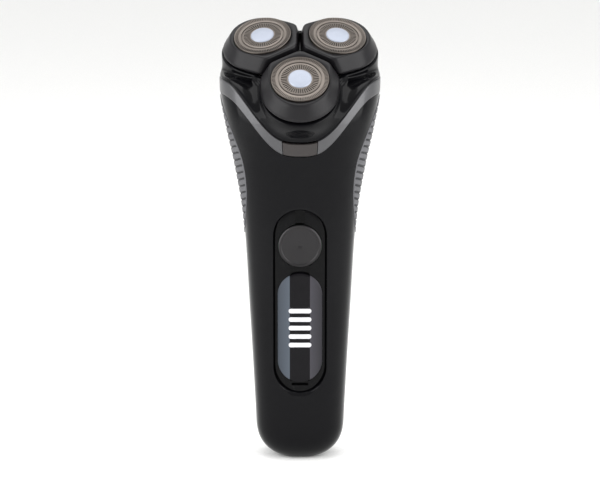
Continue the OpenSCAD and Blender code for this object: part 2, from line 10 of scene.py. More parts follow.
import bmesh
import bpy
from mathutils import Matrix, Vector


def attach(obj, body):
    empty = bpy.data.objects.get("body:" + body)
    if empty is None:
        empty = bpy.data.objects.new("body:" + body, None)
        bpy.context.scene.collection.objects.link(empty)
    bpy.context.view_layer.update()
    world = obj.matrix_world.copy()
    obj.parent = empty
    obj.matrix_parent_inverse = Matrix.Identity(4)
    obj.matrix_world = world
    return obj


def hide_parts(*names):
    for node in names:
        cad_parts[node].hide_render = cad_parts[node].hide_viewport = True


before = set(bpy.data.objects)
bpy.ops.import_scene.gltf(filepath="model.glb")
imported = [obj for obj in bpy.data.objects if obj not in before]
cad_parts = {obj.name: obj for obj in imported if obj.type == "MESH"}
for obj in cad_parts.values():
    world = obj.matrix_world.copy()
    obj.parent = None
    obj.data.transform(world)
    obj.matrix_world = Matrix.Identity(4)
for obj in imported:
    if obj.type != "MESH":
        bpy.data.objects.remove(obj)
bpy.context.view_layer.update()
MM = 0.001

# %% [markdown]
# ## Colours and node materials
# Every colour is an sRGB hex value turned into the linear values that the shader wants. The finishes
# are ordinary consumer-product ones: gloss moulded ABS, satin metallic paint, soft elastomer, stamped
# and ground steel, natural acetal. Each one has a fine pattern made by one noise in object space, at its
# real size where that can show and coarser where it can't. A second noise lets the roughness wander.
# One function makes them all, so that a finish is a single readable line of real values.

# %% Material helpers
SMEAR_SCALE = 90.0  # patches of about 11 mm
GRAIN_TONE = (0.88, 1.12)
GRAIN_DEPTH = 0.0001


def linear(hex_colour):
    parts = [int(hex_colour[i : i + 2], 16) / 255 for i in (1, 3, 5)]
    return [v / 12.92 if v <= 0.04045 else ((v + 0.055) / 1.055) ** 2.4 for v in parts] + [1.0]


def add_node(tree, kind, inputs=None, **settings):
    node = tree.nodes.new(kind)
    for key, value in settings.items():
        setattr(node, key, value)
    for key, value in (inputs or {}).items():
        if isinstance(value, bpy.types.NodeSocket):
            tree.links.new(value, node.inputs[key])
        else:
            node.inputs[key].default_value = value
    return node


# A finish: base colour, roughness that wanders a little, and a bump of a stated grain size
def finish(name, colour, rough, spread=0.04, grain_mm=0.5, bump=0.02, metallic=0.0, coat=0.0,
           stretch=(1, 1, 1), **more):
    mat = bpy.data.materials.new(name)
    mat.use_nodes = True
    tree = mat.node_tree
    shader = tree.nodes["Principled BSDF"]
    place = add_node(tree, "ShaderNodeTexCoord").outputs["Object"]
    scaled = add_node(tree, "ShaderNodeMapping", {"Vector": place, "Scale": stretch}).outputs["Vector"]
    grain = add_node(tree, "ShaderNodeTexNoise",
                     {"Vector": scaled, "Scale": 1 / (grain_mm * MM), "Detail": 3.0})
    smear = add_node(tree, "ShaderNodeTexNoise", {"Vector": place, "Scale": SMEAR_SCALE, "Detail": 4.0})
    rough_map = add_node(tree, "ShaderNodeMapRange",
                         {"Value": smear.outputs["Fac"], "From Min": 0.3, "From Max": 0.7,
                          "To Min": rough - spread, "To Max": rough + spread})
    tone = add_node(tree, "ShaderNodeMapRange",
                    {"Value": grain.outputs["Fac"], "To Min": GRAIN_TONE[0], "To Max": GRAIN_TONE[1]})
    base = add_node(tree, "ShaderNodeVectorMath",
                    {0: linear(colour)[:3], "Scale": tone.outputs["Result"]}, operation="SCALE")
    relief = add_node(tree, "ShaderNodeBump",
                      {"Height": grain.outputs["Fac"], "Strength": bump, "Distance": GRAIN_DEPTH})
    tree.links.new(base.outputs["Vector"], shader.inputs["Base Color"])
    tree.links.new(rough_map.outputs["Result"], shader.inputs["Roughness"])
    tree.links.new(relief.outputs["Normal"], shader.inputs["Normal"])
    shader.inputs["Metallic"].default_value = metallic
    shader.inputs["Coat Weight"].default_value = coat
    for key, value in more.items():
        shader.inputs[key].default_value = value
    return mat


# %% [markdown]
# ## Finishes on the outside
# Gloss ABS has an almost mirror surface with faint moulding waves. The collar is sprayed with metallic
# paint under a satin clear coat. Foils are stamped from nickel steel that looks warm beside the blue-grey
# centre caps. In a white studio a full reflection would turn the black plastics grey, so they take a
# low specular level: the eye still sees gloss, and the colour stays deep.

# %% Outside finishes
SHEEN = {"Specular IOR Level": 0.1}
SATIN = {"Specular IOR Level": 0.18}
# Moulding waves, too long and low to see except where a highlight bends
gloss_abs = finish("gloss_black_moulded_abs", "#070709", 0.12, 0.03, grain_mm=6.0, bump=0.04,
                   IOR=1.5, **SHEEN)
panel_abs = finish("polished_black_acrylic", "#050506", 0.07, 0.02, grain_mm=9.0, bump=0.02,
                   IOR=1.49, **SHEEN)
# Metal flake, drawn at 0.08 mm because the real flake is too fine to show
collar_paint = finish("satin_metallic_grey_paint", "#434345", 0.38, 0.05, grain_mm=0.08, bump=0.03,
                      metallic=0.55, coat=0.25)
release_paint = finish("satin_metallic_brown_grey_paint", "#2b2726", 0.4, 0.05, grain_mm=0.08, bump=0.03,
                       metallic=0.5, coat=0.2)
# Spark-eroded moulds leave a fine even satin on the pods
pod_satin = finish("dark_grey_satin_abs", "#131214", 0.32, 0.05, grain_mm=0.2, bump=0.03, IOR=1.5, **SATIN)
grip_rubber = finish("moulded_soft_elastomer", "#49494c", 0.62, 0.06, grain_mm=0.15, bump=0.15, IOR=1.48)
smoked = finish("smoked_polycarbonate", "#06060b", 0.05, 0.02, grain_mm=12.0, bump=0.01, IOR=1.58, **SHEEN)
foil_steel = finish("stamped_nickel_steel", "#645e59", 0.36, 0.06, grain_mm=0.1, bump=0.05, metallic=1.0)
cap_paint = finish("satin_silver_lacquer", "#8d93a0", 0.42, 0.04, grain_mm=0.06, bump=0.03,
                   metallic=0.25, coat=0.15)

# %% [markdown]
# ## Finishes on the inside
# These show when the head is open or the trimmer is out. Ground blades have scratches that all run one
# way, so their noise is stretched. Drawn wire, zinc plate and pressed sheet differ by roughness and
# grain. The gears are natural acetal and the frames are black nylon, both with a soft even surface.

# %% Inside finishes
blade_steel = finish("ground_stainless_steel", "#c4c4c6", 0.28, 0.06, grain_mm=0.12, bump=0.1,
                     metallic=1.0, stretch=(1, 8, 1))
# Painted shade: the cutters take a near-black colour for the shade inside the head, seen through the foils'
# slots
cutter_painted_shade = finish("steel_darkened_as_painted_shade", "#1d1c1b", 0.4, 0.06, grain_mm=0.12, bump=0.1, metallic=0.6)
wire_steel = finish("drawn_spring_steel", "#a9a9ad", 0.3, 0.05, grain_mm=0.1, bump=0.06, metallic=1.0)
motor_zinc = finish("zinc_plated_deep_drawn_steel", "#8f9095", 0.34, 0.06, grain_mm=0.3, bump=0.05,
                    metallic=1.0)
plate_steel = finish("pressed_steel_sheet", "#7c7d80", 0.4, 0.06, grain_mm=0.3, bump=0.06, metallic=1.0)
nylon = finish("moulded_black_nylon", "#1d1d20", 0.5, 0.05, grain_mm=0.2, bump=0.12, IOR=1.53)
acetal = finish("natural_acetal", "#e4e0d2", 0.4, 0.05, grain_mm=0.4, bump=0.03, IOR=1.48)
blue_abs = finish("moulded_blue_abs", "#3c6a8c", 0.38, 0.05, grain_mm=0.3, bump=0.04, IOR=1.5)
solder_mask = finish("green_solder_mask", "#1d5a36", 0.32, 0.05, grain_mm=0.4, bump=0.1, IOR=1.5)
wrap_film = finish("blue_shrink_wrap", "#2a6f9e", 0.3, 0.05, grain_mm=2.0, bump=0.05, IOR=1.5)
silicone = finish("black_silicone", "#202022", 0.6, 0.05, grain_mm=0.2, bump=0.08, IOR=1.41)
gold = finish("gold_plated_brass", "#d9b765", 0.22, 0.04, grain_mm=0.3, bump=0.03, metallic=1.0)
bar_white = finish("milk_white_light_guide", "#b9b9bc", 0.4, 0.03, grain_mm=0.3, bump=0.01, IOR=1.49)
# The bars glow faintly, as when the charge level is shown
glow = bar_white.node_tree.nodes["Principled BSDF"].inputs
glow["Emission Color"].default_value = linear("#f4f8fa")
glow["Emission Strength"].default_value = 0.12
print("finishes", len(bpy.data.materials))

# %% [markdown]
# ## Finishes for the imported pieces
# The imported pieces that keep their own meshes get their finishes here, in one table. Only the foils'
# caps and the power button come later, beside the pieces that they sit in. The shells, collar, grips,
# pods and foils aren't in the table, because finer meshes take their place further down.

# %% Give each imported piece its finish
NODE_FINISH = {
    gloss_abs: ["trimmer_housing"],
    bar_white: ["light_guide"],
    collar_paint: ["trimmer_latch"],
    blade_steel: ["trimmer_comb", "trimmer_blade"],
    # The cutters take the near-black painted shade colour
    cutter_painted_shade: ["cutter_front", "cutter_left", "cutter_right"],
    wire_steel: ["release_spring", "pod_springs", "battery_tabs", "deck_screws", "head_hinge_pin",
                 "trimmer_pin", "base_screws", "tact_switch", "spindle_spring_front",
                 "spindle_spring_left", "spindle_spring_right"],
    solder_mask: ["circuit_board"],
    wrap_film: ["battery_cell"],
    nylon: ["inner_chassis", "drive_deck", "pod_frame", "trimmer_bay", "charging_inlet"],
    acetal: ["motor_pinion", "drive_gear_front", "drive_gear_left", "drive_gear_right",
             "spindle_front", "spindle_left", "spindle_right"],
    motor_zinc: ["motor"],
    plate_steel: ["motor_plate"],
    blue_abs: ["retaining_frame", "frame_lock_knob"],
    silicone: ["button_seal", "deck_seals", "inlet_gasket"],
    gold: ["charging_pins"],
}


def give(obj, mat):
    if not obj.data.materials:
        obj.data.materials.append(mat)
    for i in range(len(obj.data.materials)):
        obj.data.materials[i] = mat


for mat, names in NODE_FINISH.items():
    for name in names:
        give(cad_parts[name], mat)
print("finished nodes", sum(len(v) for v in NODE_FINISH.values()))

# %% [markdown]
# ## The handle's outline
# The handle is one smooth form. Each row gives a height, the half width and the depth to the front and
# the back, all in millimetres, and cubic curves run between the rows. A section is a rounded rectangle
# written as a superellipse: squarer at the front, rounder at the back. The end rounds in to a small foot.

# %% Outline functions
BODY = [
    (0, 16.9, 14.2, 14.2), (18, 17.5, 14.5, 14.6), (60, 19.7, 15.7, 16.0), (97, 22.0, 17.3, 18.0),
    (118, 25.4, 22.0, 20.8), (130, 28.0, 25.8, 22.3), (144, 30.4, 26.0, 22.5), (158, 30.4, 23.0, 21.5),
    (168, 30.0, 20.0, 19.0),
]
BASE_ROUND, BASE_POWER, FOOT_SHARE = 15.0, 2.6, 0.45
FRONT_POWER, BACK_POWER = 2.7, 2.3
PART_SIDE, PART_DIP, PART_RISE = 150.1, -22.1, 7.9
COLLAR_HEIGHT, HINGE_DROP = 5.6, 2.4
HINGE_FROM, HINGE_FULL = 52, 68  # degrees round the back where the seam makes way for the hinge


def row_slope(i, c):
    a, b = max(i - 1, 0), min(i + 1, len(BODY) - 1)
    return (BODY[b][c] - BODY[a][c]) / (BODY[b][0] - BODY[a][0])


def outline(z, c):
    i = max(k for k in range(len(BODY) - 1) if k == 0 or BODY[k][0] <= z)
    h = BODY[i + 1][0] - BODY[i][0]
    s = (z - BODY[i][0]) / h
    start = (2 * s**3 - 3 * s**2 + 1) * BODY[i][c] + (s**3 - 2 * s**2 + s) * h * row_slope(i, c)
    return start + (3 * s**2 - 2 * s**3) * BODY[i + 1][c] + (s**3 - s**2) * h * row_slope(i + 1, c)


def sine(degrees):
    return round(math.sin(math.radians(degrees)), 12)


def cosine(degrees):
    return round(math.cos(math.radians(degrees)), 12)


def signed_power(v, p):
    return math.copysign(abs(v) ** p, v) if v else 0.0


def side_power(t):
    return FRONT_POWER if sine(t) < 0 else BACK_POWER


def skin_point(t, z, inset):
    share = 1.0
    if z < BASE_ROUND:
        share = math.sqrt(1 - (1 - z / BASE_ROUND) ** BASE_POWER * (1 - FOOT_SHARE**2))
    p, c = 2 / side_power(t), 2 if sine(t) < 0 else 3
    x = (outline(z, 1) * share - inset) * signed_power(cosine(t), p)
    return Vector((x, (outline(z, c) * share - inset) * signed_power(sine(t), p), z))


# The swooping parting curve between the handle and the head, drawn back around the hinge
def part_z(t):
    reach, power = (6, 3.0) if sine(t) < 0 else (4, 1.95)
    bell = max(0.0, 1 - abs(cosine(t)) ** (reach / side_power(t))) ** power
    return PART_SIDE + (PART_DIP if sine(t) < 0 else PART_RISE) * bell


def back_window(t):
    start, full = sine(HINGE_FROM), sine(HINGE_FULL)
    w = min(1.0, max(0.0, (sine(t) - start) / (full - start)))
    return w * w * (3 - 2 * w)


def collar_top(t):
    return part_z(t) - HINGE_DROP * back_window(t)


def collar_bottom(t):
    return part_z(t) - COLLAR_HEIGHT


# %% [markdown]
# ## Building smooth shells
# A moulded shell is a thin wall, so each piece is a row of closed loops: out along the outer skin and back
# along the inner one. Quads between the loops keep the surface smooth, and sharp edges stay sharp.
# Openings are cut afterwards with exact Booleans, by prisms that flare at the mouth to leave a soft lip.

# %% Loft and cutting helpers
SHARP_DEGREES = 35


def mesh_object(name, points, faces, mat, smooth_angle=SHARP_DEGREES):
    mesh = bpy.data.meshes.new(name)
    mesh.from_pydata([tuple(Vector(p) * MM) for p in points], [], faces)
    obj = bpy.data.objects.new(name, mesh)
    bpy.context.scene.collection.objects.link(obj)
    work = bmesh.new()
    work.from_mesh(mesh)
    bmesh.ops.recalc_face_normals(work, faces=work.faces)
    work.to_mesh(mesh)
    work.free()
    mesh.materials.append(mat)
    mesh.shade_smooth()
    mesh.set_sharp_from_angle(angle=math.radians(smooth_angle))
    return obj


def loft(name, loops, mat, closed=False, smooth_angle=SHARP_DEGREES):
    n, m = len(loops[0]), len(loops)
    faces = []
    for i in range(m if closed else m - 1):
        for j in range(n):
            k = (j + 1) % n
            up = ((i + 1) % m) * n
            faces.append((i * n + j, i * n + k, up + k, up + j))
    if not closed:
        last = (m - 1) * n
        for j in range(n // 2 - 1):
            k = n - 1 - j
            faces.append((j, k, k - 1, j + 1))
            faces.append((last + j, last + j + 1, last + k - 1, last + k))
    return mesh_object(name, [p for loop in loops for p in loop], faces, mat, smooth_angle)


def apply_modifiers(obj):
    done = bpy.data.meshes.new_from_object(obj.evaluated_get(bpy.context.evaluated_depsgraph_get()))
    obj.modifiers.clear()
    obj.data = done
    return obj


def cut_away(obj, tools):
    for tool in tools:
        cut = obj.modifiers.new("cut", "BOOLEAN")
        cut.operation, cut.solver, cut.object = "DIFFERENCE", "EXACT", tool
    apply_modifiers(obj)
    for tool in tools:
        bpy.data.objects.remove(tool)
    obj.data.set_sharp_from_angle(angle=math.radians(SHARP_DEGREES))
    return obj


# An oblong prism through a stack of (half-width growth, depth) rings, placed by a matrix
def oblong_prism(width, length, rings, place, steps=24):
    points, faces = [], []
    for grow, depth in rings:
        r = width / 2 + grow
        for i in range(2 * steps):
            a = math.pi * (i % steps) / (steps - 1) + (math.pi if i >= steps else 0)
            side = 1 if i < steps else -1
            y = r * math.sin(a) + side * (length - width) / 2
            points.append(place @ Vector((r * math.cos(a), y, depth)))
    n = 2 * steps
    for k in range(len(rings) - 1):
        for i in range(n):
            j = (i + 1) % n
            faces.append((k * n + i, k * n + j, (k + 1) * n + j, (k + 1) * n + i))
    faces.append(tuple(range(n)))
    faces.append(tuple((len(rings) - 1) * n + i for i in reversed(range(n))))
    return mesh_object("cutter_tool", points, faces, panel_abs)


# Where the front panel and the back openings lie on the handle
panel_place = Matrix.Translation((0, -14.2, 60)) @ Matrix.Rotation(math.radians(92), 4, "X")
back_place = Matrix.Translation((0, 17.6, 90)) @ Matrix.Rotation(math.radians(-3.8), 4, "X")

# %% [markdown]
# ## Handle shells
# Two injection-moulded halves meet at the sides. A hairline seam is drawn in where they meet, and each
# edge has the shallow pocket that the soft grip is moulded into. The front half has the long oblong recess
# with a rounded lip; the back half has the openings for the trimmer and its latch.

# %% Handle shells
GRIP_LOW, GRIP_HIGH, GRIP_MIN, GRIP_MAX = 89.0, 143.0, 1.5, 38.0
POCKET_DEPTH, SEAM_DEPTH, SHELL_WALL = 1.0, 0.12, 2.0
PANEL_MIDDLE = 4.6


def grip_window(z):
    v = (z - GRIP_LOW) / (GRIP_HIGH - GRIP_LOW)
    return 0.0 if v <= 0 or v >= 1 else sine(180 * v)


def grip_angle(z):
    return GRIP_MIN + (GRIP_MAX - GRIP_MIN) * grip_window(z) ** 0.7


def seam_columns(z, inner=60):
    g = grip_angle(z)
    sides = [(0.15, 1), (0.5, 1), (g * 0.35, 1), (g * 0.7, 1), (g, 1), (g + 0.35, 0)]
    middle = [(g + 0.35 + (180 - 2 * g - 0.7) * i / inner, 0) for i in range(1, inner)]
    return sides + middle + [(180 - a, pocket) for a, pocket in reversed(sides)]


def half_shell(name, start, rows=110):
    columns = len(seam_columns(120))
    loops = []
    for k in range(columns):
        t0 = start + seam_columns(130)[k][0]
        for _ in range(8):
            t0 = start + seam_columns(collar_bottom(t0))[k][0]
        heights = [BASE_ROUND * (i / 16) ** 1.5 for i in range(16)]
        heights += [BASE_ROUND + (collar_bottom(t0) - BASE_ROUND) * i / rows for i in range(rows + 1)]
        outer, inner = [], []
        for z in heights:
            angle, pocket = seam_columns(z)[k]
            deep = POCKET_DEPTH if pocket and grip_window(z) > 0 else 0.0
            seam = SEAM_DEPTH if k in (0, columns - 1) else 0.0
            wall = SHELL_WALL + (max(0.0, 1 - z / BASE_ROUND) ** 2)
            outer.append(skin_point(start + angle, z, deep + seam))
            inner.append(skin_point(start + angle, z, wall))
        loops.append(outer + inner[::-1])
    return loft(name, loops, gloss_abs)


front_skin = half_shell("front_shell_skin", 180)
panel_tool = oblong_prism(20.6, 72.6, [(0, -8), (0, 0.7), (0.15, 1.0), (0.5, 1.35), (1.6, 1.8), (1.6, 6)],
                          panel_place @ Matrix.Translation((0, PANEL_MIDDLE, 0)))
cut_away(front_skin, [panel_tool])
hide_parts("front_shell")
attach(front_skin, "body")


def box_tool(low, high, place):
    points = [place @ Vector((x, y, z))
              for x in (low[0], high[0]) for y in (low[1], high[1]) for z in (low[2], high[2])]
    faces = [(0, 1, 3, 2), (4, 6, 7, 5), (0, 4, 5, 1), (2, 3, 7, 6), (0, 2, 6, 4), (1, 5, 7, 3)]
    return mesh_object("cutter_tool", points, faces, panel_abs)


rear_skin = half_shell("rear_shell_skin", 0)
cut_away(rear_skin, [box_tool((-12.5, -6, -21.6), (12.5, 6, 18.4), back_place),
                     box_tool((-2.2, -6, -33), (2.2, 6, -24.6), back_place)])
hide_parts("rear_shell")
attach(rear_skin, "body")
print("shells", len(front_skin.data.polygons), len(rear_skin.data.polygons))

# %% [markdown]
# ## Collar and release button
# The metallic swoosh is a separate painted band clipped over the joint. It stands a hair proud of the
# handle and has softened edges, so it catches a thin line of light along its top.

# %% Collar and release button


def band_loop(t, low, high, outer, rows=8, round_mm=0.3):
    points = []
    for i in range(rows + 1):
        s = i / rows
        edge = round_mm if i in (0, rows) else 0.0
        points.append(skin_point(t, low + (high - low) * s, outer + edge))
        if i == 0:
            points.append(skin_point(t, low + round_mm, outer))
        if i == rows - 1:
            points.append(skin_point(t, high - round_mm, outer))
    return points


def band(name, t0, t1, columns, grow, outer, inner, mat):
    loops = []
    for k in range(columns + 1):
        t = t0 + (t1 - t0) * k / columns
        low, high = collar_bottom(t) + grow, collar_top(t) - grow
        outside = band_loop(t, low, high, outer)
        last = len(outside) - 1
        inside = [skin_point(t, high + (low - high) * i / last, inner) for i in range(last + 1)]
        loops.append(outside + inside)
    return loft(name, loops, mat, smooth_angle=50)


collar = band("collar_band", 278.6, 621.4, 240, 0.02, -0.15, 2.2, collar_paint)
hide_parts("collar_ring")
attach(collar, "body")
release = band("release_key", 261.9, 278.1, 24, 0.25, -0.3, 2.4, release_paint)
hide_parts("release_button")
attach(release, "release")
print("collar", len(collar.data.polygons), "release", len(release.data.polygons))

# %% [markdown]
# ## Side grips
# Each grip is a crescent of soft elastomer moulded over the seam. It has raised slanted bars with dark
# grooves between them, and small pits along each groove, all at a pitch of 2.6 mm. The bars are real
# relief, and the groove faces take a darker colour: painted shade, for the shadow that falls in the grooves.

# %% Side grips
# Painted shade: a near-black colour for the groove faces, standing for the shadow inside the grooves
groove_painted_shade = finish("grip_groove_painted_shade", "#17171a", 0.6, 0.05, grain_mm=0.15, bump=0.1, IOR=1.48)
BAR_PITCH, BAR_SLANT, GROOVE_SHARE = 2.6, 0.09, 0.3
BAR_PROUD, GROOVE_DEPTH, PIT_DEPTH, PLAIN_EDGE = 0.22, 0.28, 0.18, 0.93


def side_grip(name, side, node):
    rows, columns = 300, 48
    front_sign = 1 if side == 180 else -1
    loops, dark = [], set()
    for k in range(columns + 1):
        across = k / columns * 2 - 1
        outer, inner = [], []
        for i in range(rows + 1):
            z = GRIP_LOW + (GRIP_HIGH - GRIP_LOW) * i / rows
            angle = (grip_angle(z) - 0.25) * across
            slant = BAR_SLANT * angle * front_sign
            phase = ((z - slant) / BAR_PITCH) % 1.0
            groove = phase < GROOVE_SHARE and abs(across) <= PLAIN_EDGE
            pit = PIT_DEPTH if math.sin(angle * 1.25 * math.pi / 2) > 0.3 else 0.0
            deep = (GROOVE_DEPTH + pit) if groove else 0.0
            if groove:
                dark.add((k, i))
            tuck = 0.15 if abs(across) == 1 else 0
            outer.append(skin_point(side + angle, z, -BAR_PROUD + deep + tuck))
            inner.append(skin_point(side + angle, z, 0.95))
        loops.append(outer + inner[::-1])
    grip = loft(name, loops, grip_rubber, smooth_angle=60)
    grip.data.materials.append(groove_painted_shade)
    n = len(loops[0])
    # Faces down in the grooves take the painted shade colour
    for face in grip.data.polygons:
        spots = [(v // n, v % n) for v in face.vertices]
        if sum(spot in dark for spot in spots) >= 3:
            face.material_index = 1
    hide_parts(node)
    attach(grip, "body")
    return grip


grips = [side_grip("grip_bars_left", 180, "side_grip_left"),
         side_grip("grip_bars_right", 360, "side_grip_right")]
print("grips", [len(g.data.polygons) for g in grips])

# %% [markdown]
# ## The head's frame
# Everything above the collar is laid out in a tilted frame: its Z runs along the drive axis, and three
# pods sit round it at 120 degrees, each leaning out by 7.1 degrees as contour-following heads do.

# %% Head frame
HEAD_TILT, POD_R, POD_LEAN = 34.0, 16.5, 7.1
PETAL_SIDE, PETAL_END, SKIRT_LOW = 14.9, 16.1, -6.4  # half width, reach of the round end, lowest edge
POD_ANGLES = {"front": 270, "left": 150, "right": 30}
head_place = Matrix.Translation((0, -11, 161.5)) @ Matrix.Rotation(math.radians(HEAD_TILT), 4, "X")


def pod_place(angle):
    spin = Matrix.Rotation(math.radians(angle), 4, "Z")
    lean = Matrix.Rotation(math.radians(POD_LEAN), 4, "Y")
    return head_place @ spin @ Matrix.Translation((POD_R, 0, 0)) @ lean


# %% [markdown]
# ## Head surround
# The glossy surround sweeps from the collar up to a three-lobed rim just under the pods. Its sides follow
# a cubic curve that leaves the handle's skin smoothly and arrives along the head's axis. The rim copies
# the pods' outline, averaged over a few degrees so that the notches between the lobes are rounded.

# %% Head surround
NOTCH_R, RIM_GAP = 19.0, 1.0
RIM_BLUR = (-6, -3, 0, 3, 6)
SURROUND_COLUMNS, SURROUND_ROWS, SURROUND_WALL = 216, 24, 1.8


# The pods' outline seen from the hub: its radius and its height at an angle round the head
def petal_edge(t):
    d = (t - 30 + 60) % 120 - 60  # degrees from the nearest pod's middle
    flank = PETAL_SIDE / max(abs(sine(d)), 1e-3)
    a = (cosine(d) / PETAL_END) ** 2 + (sine(d) / PETAL_SIDE) ** 2
    b = cosine(d) * POD_R / PETAL_END**2
    c = (POD_R / PETAL_END) ** 2 - 1
    end = (b + math.sqrt(max(b * b - a * c, 0))) / a
    r = flank if flank * cosine(d) < POD_R else end
    drop = SKIRT_LOW * cosine(POD_LEAN) - (r * cosine(d) - POD_R) * sine(POD_LEAN)
    return r, drop


def rim_point(t, below, inset):
    spread = [petal_edge(t + off) for off in RIM_BLUR]
    r = max(sum(v[0] for v in spread) / len(RIM_BLUR), NOTCH_R) - 0.1 - inset
    m = sum(v[1] for v in spread) / len(RIM_BLUR) - RIM_GAP - below
    return head_place @ Vector((r * cosine(t), r * sine(t), m))


def surround_point(t, s, inset):
    z = part_z(t) + 0.3 + 2.8 * back_window(t)
    a = skin_point(t, z, inset)
    b = skin_point(t, z + 3, inset)
    c, d = rim_point(t, 4.0, inset - 0.4), rim_point(t, 0, inset)
    return (1 - s) ** 3 * a + 3 * s * (1 - s) ** 2 * b + 3 * s**2 * (1 - s) * c + s**3 * d


# Share of the way up, and how far the skin draws in there to soften the edge
surround_steps = [(0, 0.25), (0.02, 0.05)]
surround_steps += [(0.05 + 0.9 * i / SURROUND_ROWS, 0) for i in range(SURROUND_ROWS + 1)]
surround_steps += [(0.98, 0.1), (1, 0.4)]
surround_loops = []
for k in range(SURROUND_COLUMNS):
    t = 360 * k / SURROUND_COLUMNS
    outer = [surround_point(t, s, inset) for s, inset in surround_steps]
    inner = [surround_point(t, s / (len(outer) - 1), SURROUND_WALL) for s in range(len(outer))]
    surround_loops.append(outer + inner[::-1])
surround = loft("head_surround", surround_loops, gloss_abs, closed=True, smooth_angle=60)
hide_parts("head_housing")
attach(surround, "head")
print("surround", len(surround.data.polygons))

# %% [markdown]
# ## Floating pods
# Each pod is a petal: a 120 degree point towards the hub, straight flanks and a round outer end, with a
# steep skirt that falls away from the foil. The corners are softened by a high-power mean of the limits,
# which follows the nearest one and rounds over where two of them meet.

# %% Pods
CORNER_POWER, PETAL_COLUMNS = 18, 180
FOIL_HOLE, PETAL_LEAST = 11.2, 11.25


def petal_reach(a, inset, hub):
    side, end = PETAL_SIDE - inset, PETAL_END - inset
    if cosine(a) > 0:
        limits = [1 / math.hypot(cosine(a) / end, sine(a) / side)]
    else:
        limits = [side / max(abs(sine(a)), 1e-6)]
    for sign in (-1, 1):
        across = sign * sine(a) * cosine(60) - cosine(a) * sine(60)
        if across > 1e-6:
            limits.append((POD_R * sine(60) - hub) / across)
    return sum(v**-CORNER_POWER for v in limits) ** (-1 / CORNER_POWER)


# Rows from the skirt's foot to the crown: inset, height, and the extra gap at the hub
POD_SKIRT = [(0.35, -6.4, 0), (0.05, -6.1, 0), (0.0, -5.8, 0), (0.5, -4.9, 0.05), (1.3, -3.7, 0.12),
             (2.1, -2.4, 0.2), (2.8, -1.3, 0.3), (3.15, -0.8, 0.4), (3.4, -0.58, 0.6), (3.65, -0.5, 0.9)]


def pod_petal(name, place):
    loops = []
    for k in range(PETAL_COLUMNS):
        a = 360 / PETAL_COLUMNS * k
        loop = [(max(petal_reach(a, inset, 0.85 + extra), PETAL_LEAST), z) for inset, z, extra in POD_SKIRT]
        loop += [(FOIL_HOLE, -0.5), (11.06, -0.62), (11.06, -3.2), (10.3, -3.2), (10.3, -6.2), (10.5, -6.4)]
        loops.append([place @ Vector((r * cosine(a), r * sine(a), z)) for r, z in loop])
    return loft(name, loops, pod_satin, closed=True, smooth_angle=42)


for side, angle in POD_ANGLES.items():
    petal = pod_petal("pod_petal_" + side, pod_place(angle))
    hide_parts("pod_" + side)
    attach(petal, "float_" + side)
    print(petal.name, len(petal.data.polygons))

# %% [markdown]
# ## Slotted foils
# A foil is thin stamped steel with two shaving tracks. The inner track has 48 radial slots and the outer
# one 96 finer ones; between them runs a groove, and a rolled rim guards the edge. The slots are real
# openings, so the cutter shows through. The sheet is built as a polar grid with the slots left out.

# %% Foils
FOIL_COLUMNS, SHEET_THICKNESS = 384, 0.00045
FOIL_PROFILE = [
    (4.4, 0.0), (4.7, 0.02), (4.8, 0.02), (7.1, 0.02), (7.75, 0.0), (7.9, -0.05), (7.95, -0.4),
    (8.15, -0.4), (8.2, -0.03), (8.4, 0.02), (9.2, 0.02), (10.45, 0.02), (10.55, 0.06), (10.7, 0.12),
    (10.85, 0.06), (10.9, -0.1), (10.9, -3.0),
]
# Ring of the profile, columns from slot to slot, columns that one slot takes
SLOT_TRACKS = [(2, 8, 4), (10, 4, 2)]


def slotted(ring, column):
    return any(ring == track and column % period < width for track, period, width in SLOT_TRACKS)


def foil_disc(name, place):
    points, faces = [], []
    for r, z in FOIL_PROFILE:
        for k in range(FOIL_COLUMNS):
            a = 360 * k / FOIL_COLUMNS
            points.append(place @ Vector((r * cosine(a), r * sine(a), z)))
    for ring in range(len(FOIL_PROFILE) - 1):
        for k in range(FOIL_COLUMNS):
            if slotted(ring, k):
                continue
            j = (k + 1) % FOIL_COLUMNS
            a, b = ring * FOIL_COLUMNS, (ring + 1) * FOIL_COLUMNS
            faces.append((a + k, b + k, b + j, a + j))
    disc = mesh_object(name, points, faces, foil_steel, smooth_angle=40)
    thick = disc.modifiers.new("sheet", "SOLIDIFY")
    thick.thickness, thick.offset = SHEET_THICKNESS, -1
    apply_modifiers(disc)
    disc.data.set_sharp_from_angle(angle=math.radians(40))
    return disc


for side, angle in POD_ANGLES.items():
    disc = foil_disc("foil_slots_" + side, pod_place(angle))
    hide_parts("foil_" + side)
    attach(disc, "float_" + side)
    give(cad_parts["foil_cap_" + side], cap_paint)
    print(disc.name, len(disc.data.polygons))

# %% [markdown]
# ## Crowned panel and window
# The recessed panel and the smoked window are slightly domed across, so a reflection narrows to a band
# down their middle. Both are grown inwards from an oblong outline, ring by ring, and follow one crown.
# A shallow neck is milled between the button and the window.

# %% Crowned plates
CROWN_R = 42.0
BUTTON_Y, WINDOW_Y = 26.7, -5.9


